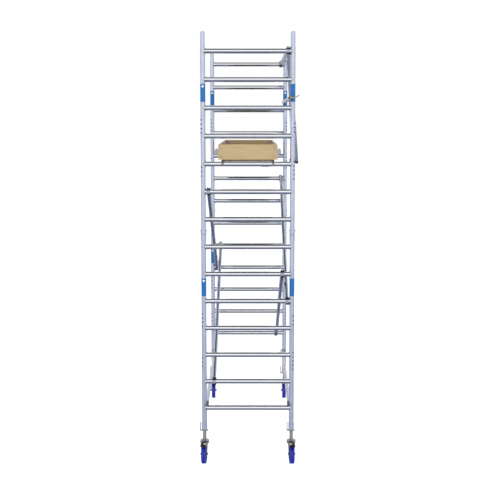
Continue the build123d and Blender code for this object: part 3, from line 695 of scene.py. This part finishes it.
def patch(at, heading, half_angle, low, high, inner, outer, round_dot=False, steps=17):
    """Patch bent round a vertical post.

    Section i is a rectangle in (radius, height), carried to the angle a_i. A round dot shrinks
    the height of the rectangle by sqrt(1 - t^2) with t from -1 to 1 across the patch.
    """
    t = np.linspace(-1, 1, steps)
    angle = heading + half_angle * t
    share = np.sqrt(np.maximum(1 - t**2, 0.003)) if round_dot else np.ones(steps)
    middle_z, half_z = (low + high) / 2, (high - low) / 2
    radius = np.array([inner, outer, outer, inner])
    rise = np.array([-1.0, -1.0, 1.0, 1.0])
    grid = np.zeros((steps, 4, 3))
    grid[:, :, 0] = at[0] + radius[None, :] * np.cos(angle)[:, None]
    grid[:, :, 1] = at[1] + radius[None, :] * np.sin(angle)[:, None]
    grid[:, :, 2] = middle_z + half_z * rise[None, :] * share[:, None]
    return skin(grid)


SLEEVES = ((3.719, 3.897), (1.754, 1.938))
MARKS = {
    "left": ((3.41, 3.54), (2.98, 3.07), (1.44, 1.57), (1.02, 1.11)),
    "right": ((3.42, 3.51), (2.95, 3.13), (1.46, 1.55), (0.99, 1.17)),
}
MARK_PITCH, MARK_HALF, MARK_SPAN = 0.044, 0.006, 0.5
sleeves, dots, marks = [], [], []
for end, side in CORNERS:
    at = POST_AT[f"{end}_{side}"]
    outer_way = 0.0 if side == "right" else np.pi
    front_way = -np.pi / 2
    for low, high in SLEEVES:
        sleeves.append(sleeve(at, low, high, POST_R - 0.0002, POST_R + 0.0003))
        if side == "left" or end == "rear":
            dots.append(patch(at, front_way, 0.45, high - 0.036, high - 0.014, POST_R, POST_R + 0.0005, True))
    for low, high in MARKS[side]:
        for z in np.arange(low, high + 0.01, MARK_PITCH):
            heading = outer_way + (0.75 if side == "left" else -0.75)
            span = (z - MARK_HALF, z + MARK_HALF)
            marks.append(patch(at, heading, MARK_SPAN, *span, POST_R - 0.0002, POST_R + 0.0003))
piece("post_sleeves", sleeves, label_blue, "tower", 40)
piece("sleeve_dots", dots, label_white, "tower", 40)
piece("post_marks", marks, mark_blue, "tower", 40)

# %% [markdown]
# ## Casters
#
# Each wheel is moulded: a rim with an almost flat tread, a thin web, and a hub with a bearing on
# each side. We turn the whole profile about the axle. The axle's direction is the thinnest
# direction through the wheel's points. Above the fork sits the swivel bearing under a blue cover.

# %% Wheels, bearings and covers
def across_of(node):
    """Centre and thinnest direction of a flat round part."""
    points = points_of(node)
    centre = (points.min(0) + points.max(0)) / 2
    return centre, np.linalg.svd(points - centre, full_matrices=False)[2][2]


def mirrored(half):
    """A profile of (radius, height) pairs on one side, closed by its mirror image."""
    return half + [(r, -h) for r, h in reversed(half)]


corner = [(0.094 + 0.006 * np.sin(t), 0.017 + 0.006 * np.cos(t)) for t in np.linspace(0, np.pi / 2, 6)]
tread = [(0.0998, 0.010), (0.1, 0.0098), (0.1, 0.0048), (0.0992, 0.0044), (0.0992, 0.0028), (0.1, 0.0024)]
rim = [(0.078, 0.021), (0.0795, 0.023), (0.092, 0.023)]
hub = [(0.0165, 0.0225), (0.0255, 0.0225), (0.0275, 0.0205), (0.029, 0.009)]
web = [(0.031, 0.0075), (0.073, 0.0075), (0.0755, 0.009)]
WHEEL_PROFILE = mirrored(hub + web + rim + corner + tread)
BEARING = [(0.0078, 0.0225), (0.0162, 0.0225), (0.0164, 0.024)]
BEARING += [(0.0150, 0.0249), (0.0098, 0.0249), (0.0078, 0.0243)]
COVER = [(0.0392, 0.2146), (0.043, 0.2146), (0.0444, 0.2162)]
COVER += [(0.0444, 0.2222), (0.042, 0.2272), (0.0392, 0.2274)]
for end, side in CORNERS:
    corner_name = f"{end}_{side}"
    at = POST_AT[corner_name]
    centre, axle = across_of(f"wheel_{corner_name}")
    body = f"wheel_{corner_name}"
    shapes = [turned(WHEEL_PROFILE, centre, axle, 96)]
    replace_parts(piece(f"moulded_{body}", shapes, wheel_blue, body, 30), body)
    bearings = [turned(BEARING, centre, way * axle, 40) for way in (-1, 1)]
    piece(f"wheel_bearings_{corner_name}", bearings, wire_zinc, body, 40)
    shapes = [turned(COVER, at, (0, 0, 1), 72)]
    body = f"fork_{corner_name}"
    piece(f"bearing_cover_{corner_name}", shapes, cover_blue, body, 30)

# %% [markdown]
# ### Small caster parts
#
# These are easiest to place in the caster's own directions: across the wheel, along it, and up.
# The crown of the fork gets a rolled rim, the pedal a raised cream arrow, the axle a hexagonal nut
# on each side, and the top plate four bolts.

# %% Rims, arrows, nuts and bolts of the casters
def caster_axes(corner_name):
    """Foot of the post, and unit vectors across, along and up in the caster's own frame."""
    at = POST_AT[corner_name]
    centre, axle = across_of(f"wheel_{corner_name}")
    along = at - centre
    along[2] = 0.0
    along /= np.linalg.norm(along)
    return at, np.array([along[1], -along[0], 0.0]), along, np.array([0.0, 0.0, 1.0])


def local_to_world(corner_name, points):
    """Points given as (across, along, up) in the caster's frame, as world points."""
    at, across, along, up = caster_axes(corner_name)
    return at + points @ np.stack([across, along, up])


def plate(outline, lift_low, lift_high, lean):
    """Flat outline of (across, along) on a leaning top: up = lean(along) + lift, from low to high."""
    outline = np.array(outline, float)
    base = np.column_stack([outline, lean(outline[:, 1])])
    low, high = base.copy(), base.copy()
    low[:, 2] += lift_low
    high[:, 2] += lift_high
    return np.stack([low, high])


def hexagon(at, direction, radius, thick):
    """Hexagonal nut or bolt head with its outer corners eased."""
    u, v, w = axes_about(direction)
    a = np.linspace(0, 2 * np.pi, 6, endpoint=False)
    ring = radius * (np.cos(a)[:, None] * u + np.sin(a)[:, None] * v)
    levels = ((0.0, 1.0), (0.85 * thick, 1.0), (thick, 0.9))
    return skin(np.stack([at + h * w + grow * ring for h, grow in levels]))


def pedal_top(along):
    """Height of the pedal's leaning top at a place along the caster."""
    return 0.232 + (along + 0.074) * 0.25


ARROW = [(0.0, -0.094), (0.024, -0.094), (0.027, -0.132), (0.0, -0.112)]
for end, side in CORNERS:
    corner_name = f"{end}_{side}"
    at, across, along, up = caster_axes(corner_name)
    inward = -np.sign(across[0]) * SIDES[side]
    outline = [(inward * x, y) for x, y in ARROW]
    arrow = skin(local_to_world(corner_name, plate(outline, -0.0008, 0.0012, pedal_top)))
    piece(f"pedal_arrow_{corner_name}", [arrow], pedal_cream, f"pedal_{corner_name}", 30)
    rim = [(0.0438, 0.2042), (0.0462, 0.2050), (0.0468, 0.2090), (0.0462, 0.2130), (0.0438, 0.2140)]
    centre, axle = across_of(f"wheel_{corner_name}")
    shapes = [turned(rim, at, up, 72)]
    for way in (-1, 1):
        shapes.append(hexagon(centre + way * 0.0335 * axle, way * axle, 0.0115, 0.0065))
    piece(f"fork_rim_{corner_name}", shapes, caster_zinc, f"fork_{corner_name}", 30)
    heads = []
    for turn in np.radians((45, 135, 225, 315)):
        spot = at + 0.033 * (np.cos(turn) * across + np.sin(turn) * along) + 0.2325 * up
        heads.append(hexagon(spot, up, 0.0055, 0.0035))
    piece(f"plate_bolts_{corner_name}", heads, wire_zinc, f"leg_{corner_name}", 30)

# %% [markdown]
# ### Threads of the legs
#
# The legs are spindles with a coarse round thread. A thread is one surface over the angle and the
# height: the radius is a wave whose phase grows by one turn with every pitch of height.

# %% Threaded spindles
def thread(at, low, high, radius, depth, pitch, steps=40):
    """Round thread: r(a, h) = R - d / 2 + d / 2 cos(2 pi h / p - a), smooth at both ends."""
    angle = np.linspace(0, 2 * np.pi, steps, endpoint=False)
    height = np.arange(low, high, pitch / 7)
    share = np.clip(np.minimum(height - low, high - height) / pitch, 0, 1)
    wave = np.cos(2 * np.pi * height[:, None] / pitch - angle[None, :])
    r = radius - depth / 2 + depth / 2 * wave * share[:, None]
    grid = np.empty((len(height), steps, 3))
    grid[:, :, 0] = at[0] + r * np.cos(angle)
    grid[:, :, 1] = at[1] + r * np.sin(angle)
    grid[:, :, 2] = height[:, None]
    return skin(grid)


for end, side in CORNERS:
    corner_name = f"{end}_{side}"
    low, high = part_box(f"caster_leg_{corner_name}")
    spindle = thread(POST_AT[corner_name], 0.2335, high.z, 0.0182, 0.0016, 0.008)
    piece(f"leg_thread_{corner_name}", [spindle], caster_zinc, f"leg_{corner_name}", 60)

# %% [markdown]
# ## Bolts, rivets and caps
#
# Toe boards are held by coach bolts with pale round heads, the deck by rivets along its edge, and
# open ends of tube are closed with plastic plugs.

# %% Toe board bolts, deck rivets and plugs
toe_low, toe_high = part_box("toe_boards")
bolts = []
for y, way in ((toe_low.y, -1), (toe_high.y, 1)):
    for x in (toe_low.x + 0.024, toe_high.x - 0.024):
        for z in (toe_low.z + 0.026, toe_high.z - 0.034):
            bolts.append(dome((x, y, z), (0, way, 0), 0.0085, 0.0032))
piece("toe_board_bolts", bolts, fitting_zinc, "tower", 50)

deck_low, deck_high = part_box("deck")
rivets = []
for x in (deck_low.x + 0.014, deck_high.x - 0.014):
    for y in np.arange(deck_low.y + 0.09, deck_high.y - 0.05, 0.17):
        rivets.append(dome((x, y, deck_high.z), (0, 0, 1), 0.007, 0.0016))
piece("deck_rivets", rivets, wire_zinc, "tower", 50)

strut_low, strut_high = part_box("guard_strut")
strut_points = points_of("guard_strut")
END_DEPTH, PLUG_HALF, PLUG_INSET = 0.012, 0.004, 0.0012


def strut_plug(level):
    """Flat block across the open end of the strut: the box of the points near that level."""
    near = strut_points[np.abs(strut_points[:, 2] - level) < END_DEPTH]
    centre = (near.min(0) + near.max(0)) / 2
    half = np.maximum((near.max(0) - near.min(0)) / 2 - PLUG_INSET, 0.002)
    outline = np.array([(-1, -1, 0), (1, -1, 0), (1, 1, 0), (-1, 1, 0)])
    ring = centre + outline * half
    return skin(np.stack([ring - [0, 0, PLUG_HALF], ring + [0, 0, PLUG_HALF]]))


shapes = [strut_plug(strut_low.z), strut_plug(strut_high.z)]
piece("strut_plugs", shapes, label_white, "tower", 30)

# %% [markdown]
# ## Floor, light and air
#
# A studio for a tall shiny object is mostly about what the metal sees. Round tubes reflect the
# whole horizon, so a bright horizon with a darker zenith and floor gives each tube one pale band
# with a dark line above and below. Large soft lamps then give the shapes their direction.

# %% Studio
floor_mesh = bpy.data.meshes.new("studio_floor")
reach = 140.0
floor_corners = [(-reach, -reach, 0), (reach, -reach, 0), (reach, reach, 0), (-reach, reach, 0)]
floor_mesh.from_pydata(floor_corners, [], [(0, 1, 2, 3)])
floor = bpy.data.objects.new("studio_floor", floor_mesh)
bpy.context.scene.collection.objects.link(floor)
floor_finish, _, floor_shader = blank("pale_floor")
floor_shader.inputs["Base Color"].default_value = (0.6, 0.6, 0.605, 1.0)
floor_shader.inputs["Roughness"].default_value = 0.9
floor_shader.inputs["Emission Color"].default_value = (1.0, 1.0, 1.0, 1.0)
floor_shader.inputs["Emission Strength"].default_value = 0.78
floor_mesh.materials.append(floor_finish)
floor.visible_glossy = False

world = bpy.data.worlds.new("studio_air")
bpy.context.scene.world = world
world.use_nodes = True
air = world.node_tree
air.nodes["Background"].inputs["Strength"].default_value = 1.0
direction = air.nodes.new("ShaderNodeTexCoord")
height = air.nodes.new("ShaderNodeSeparateXYZ")
ramp = air.nodes.new("ShaderNodeValToRGB")
air.links.new(direction.outputs["Generated"], height.inputs["Vector"])
air.links.new(band(air, height.outputs["Z"], -1.0, 1.0), ramp.inputs["Fac"])
NADIR, SHADE = (0.10, 0.12, 0.17, 1.0), (0.38, 0.42, 0.54, 1.0)
BRIGHT, ZENITH = (1.0, 1.0, 1.0, 1.0), (0.05, 0.055, 0.08, 1.0)
LOW_STEPS = ((0.0, NADIR), (0.17, NADIR), (0.24, SHADE), (0.33, SHADE), (0.482, BRIGHT))
STEPS = LOW_STEPS + ((0.87, BRIGHT), (0.90, ZENITH), (1.0, ZENITH))
stops = ramp.color_ramp.elements
stops[0].color, stops[1].color = STEPS[0][1], STEPS[-1][1]
for position, colour in STEPS[1:-1]:
    stops.new(position).color = colour
# The air is also a little darker to the left and right, which gives the upright posts their edges.
sideways = sums(air, "ABSOLUTE", height.outputs["X"])
dusk = band(air, sideways, 0.72, 0.97, 0.0, 0.6)
air_colour = blend_colours(air, dusk, ramp.outputs["Color"], (0.28, 0.30, 0.42, 1.0))
air.links.new(air_colour, air.nodes["Background"].inputs["Color"])


def lamp(name, at, towards, size, power, colour=(1, 1, 1)):
    """A soft square lamp that points at a place."""
    data = bpy.data.lights.new(name, "AREA")
    data.shape = "SQUARE"
    data.size = size
    data.energy = power
    data.color = colour
    made = bpy.data.objects.new(name, data)
    made.location = at
    made.visible_glossy = False
    aim = Vector(towards) - Vector(at)
    made.rotation_euler = aim.to_track_quat("-Z", "Y").to_euler()
    bpy.context.scene.collection.objects.link(made)


lamp("key", (-5.0, -8.0, 7.0), (0, 0, 2.2), 4.0, 230)
lamp("fill", (6.0, -7.0, 4.0), (0, 0, 2.0), 5.0, 110)
lamp("back", (2.0, 9.0, 6.0), (0, 0, 2.5), 4.0, 150)
bpy.context.scene.view_settings.view_transform = "Standard"
